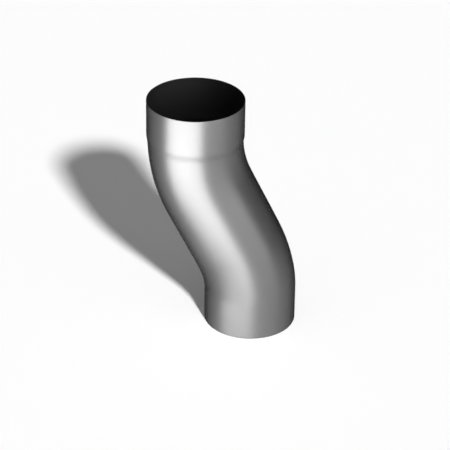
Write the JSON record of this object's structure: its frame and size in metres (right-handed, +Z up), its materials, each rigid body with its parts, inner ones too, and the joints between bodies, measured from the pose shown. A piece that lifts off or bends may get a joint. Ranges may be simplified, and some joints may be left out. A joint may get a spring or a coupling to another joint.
{
  "type": "downpipe offset bend",
  "caption": "Round sheet-metal S-bend with a wider socket at the top and a drawn-in spigot at the bottom, which carries a downpipe past a ledge.",
  "frame": {"origin": "centre of the spigot's lower edge, on the surface that the bend stands on", "axes": "+Z up along the spigot and the socket, whose axes are parallel; the socket's axis lies towards -X by the offset; the XZ plane is the plane of both bends"},
  "size_m": [0.1602, 0.1024, 0.2599],
  "materials": {
    "zinc_sheet": "smooth bright-rolled titanium-zinc sheet with a satin gloss outside, dull and dark inside"
  },
  "bodies": {
    "root": {"offset_bend": "zinc_sheet"}
  },
  "joints": []
}
